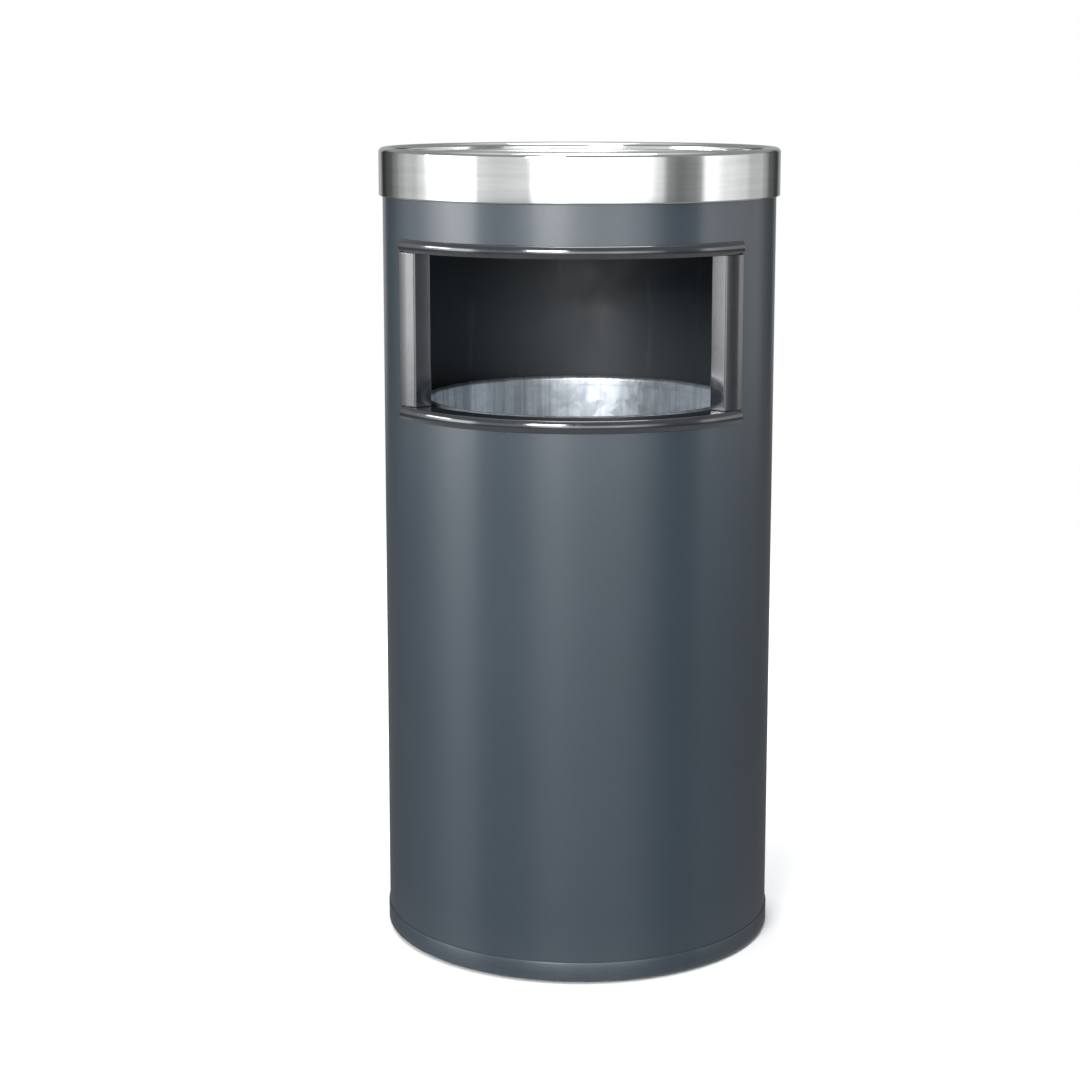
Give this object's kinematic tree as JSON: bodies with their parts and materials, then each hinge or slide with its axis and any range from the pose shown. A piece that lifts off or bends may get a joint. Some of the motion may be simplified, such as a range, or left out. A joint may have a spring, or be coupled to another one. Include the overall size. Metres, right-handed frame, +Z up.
{
  "type": "ashtray bin",
  "caption": "Round floor-standing ashtray bin: steel shell with a framed front aperture, lift-off stainless top with an ash bowl, and a lift-out galvanised liner.",
  "frame": {"origin": "centre of the footprint, on the floor under the feet", "axes": "+Z up along the bin's axis; the aperture faces -Y; +X is to the right of someone facing the aperture"},
  "size_m": [0.38, 0.38, 0.76],
  "materials": {
    "body_paint": "satin powder coat, dark slate grey",
    "frame_enamel": "gloss enamel, near black",
    "stainless": "polished stainless steel with a fine circumferential grain",
    "galvanised": "hot-dip galvanised, bluish white",
    "zinc_plate": "bright zinc plate",
    "foot_rubber": "matt black"
  },
  "bodies": {
    "housing": {"body_shell": "body_paint", "top_hoop": "body_paint", "base_ring": "body_paint", "base_pan": "body_paint", "foot_screws": "zinc_plate", "foot_washers": "zinc_plate", "foot_nuts": "zinc_plate", "frame_top": "frame_enamel", "frame_bottom": "frame_enamel", "frame_right": "frame_enamel", "frame_left": "frame_enamel", "foot_1": "foot_rubber", "foot_2": "foot_rubber", "foot_3": "foot_rubber", "foot_4": "foot_rubber"},
    "top_cap": {"top_ring": "stainless", "ring_lug_1": "stainless", "ring_lug_2": "stainless", "ring_lug_3": "stainless", "ring_lug_4": "stainless"},
    "ash_bowl": {"ash_bowl": "stainless"},
    "liner": {"liner_wall": "galvanised", "liner_rim": "galvanised", "liner_base": "galvanised", "liner_rim_wire": "zinc_plate", "ear_rivets": "zinc_plate", "liner_ear_1": "galvanised", "liner_ear_2": "galvanised", "liner_ear_3": "galvanised", "liner_ear_4": "galvanised"},
    "handle_right": {"liner_handle_right": "zinc_plate"},
    "handle_left": {"liner_handle_left": "zinc_plate"}
  },
  "joints": [
    {"name": "top_lift", "type": "slide", "parent": "housing", "child": "top_cap", "axis": [0, 0, 1], "range_m": [0, 0.07]},
    {"name": "bowl_lift", "type": "slide", "parent": "top_cap", "child": "ash_bowl", "axis": [0, 0, 1], "range_m": [0, 0.06]},
    {"name": "liner_lift", "type": "slide", "parent": "housing", "child": "liner", "axis": [0, 0, 1], "range_m": [0, 0.17]},
    {"name": "handle_right_swing", "type": "hinge", "parent": "liner", "child": "handle_right", "pos_m": [0.1485, 0, 0.5], "axis": [0, -1, 0], "range_deg": [0, 90]},
    {"name": "handle_left_swing", "type": "hinge", "parent": "liner", "child": "handle_left", "pos_m": [-0.1485, 0, 0.5], "axis": [0, 1, 0], "range_deg": [0, 90]}
  ]
}
